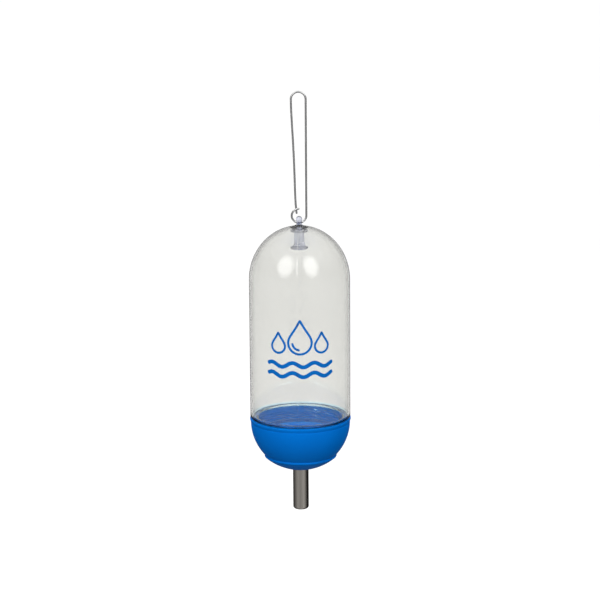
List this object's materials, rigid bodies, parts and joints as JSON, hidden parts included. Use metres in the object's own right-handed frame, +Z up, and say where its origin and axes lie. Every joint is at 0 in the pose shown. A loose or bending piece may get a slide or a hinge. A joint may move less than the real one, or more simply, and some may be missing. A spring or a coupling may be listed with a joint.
{
  "type": "rabbit water bottle",
  "caption": "Clear domed hanging water bottle with a screwed blue bowl cap, a steel drinking tube closed by balls, and a clasped wire hanger for a cage.",
  "frame": {"origin": "the underside of the hanger's top bend, where a hook or a cage wire carries the object", "axes": "+Z up along the bottle's axis; the wire hanger lies in the XZ plane, with its straight leg at +X; the hook's tip leans towards -Y, which is the front"},
  "size_m": [0.0812, 0.0812, 0.3408],
  "materials": {
    "hanger_wire": "drawn steel wire, satin",
    "clear_plastic": "clear, glossy, with a faint moulding seam",
    "clear_vinyl": "soft clear vinyl with a cool tint",
    "seal_rubber": "matte",
    "blue_plastic": "moulded blue, semi-gloss",
    "tube_steel": "drawn stainless tube, polished lengthwise",
    "ball_steel": "polished",
    "blue_ink": "screen-printed ink, satin"
  },
  "bodies": {
    "hanger": {"wire_hanger": "hanger_wire"},
    "bottle": {"bottle_shell": "clear_plastic", "hanger_plug": "clear_vinyl", "plug_seal": "clear_vinyl"},
    "neck_seal": {"neck_gasket": "clear_vinyl"},
    "cap": {"screw_cap": "blue_plastic", "drinking_tube": "tube_steel", "tube_washer": "seal_rubber"},
    "lower_ball": {"valve_ball": "ball_steel"},
    "top_ball": {"upper_ball": "ball_steel"}
  },
  "joints": [
    {"name": "bottle_swing", "type": "hinge", "parent": "hanger", "child": "bottle", "pos_m": [0, 0, -0.1029], "axis": [1, 0, 0], "range_deg": [-95, 95]},
    {"name": "gasket_drop", "type": "slide", "parent": "bottle", "child": "neck_seal", "axis": [0, 0, -1], "range_m": [0, 0.00795]},
    {"name": "cap_turn", "type": "hinge", "parent": "neck_seal", "child": "cap", "pos_m": [0, 0, -0.2746], "axis": [0, 0, -1], "range_deg": [0, 570]},
    {"name": "ball_lift", "type": "slide", "parent": "cap", "child": "lower_ball", "axis": [0, 0, 1], "range_m": [0, 0.022]},
    {"name": "upper_ball_lift", "type": "slide", "parent": "cap", "child": "top_ball", "axis": [0, 0, 1], "range_m": [0, 0.022]}
  ],
  "couplings": [
    {"joint": "gasket_drop", "follows": "cap_turn", "m_per_rad": 0.00079577},
    {"joint": "upper_ball_lift", "follows": "ball_lift", "ratio": 1}
  ]
}
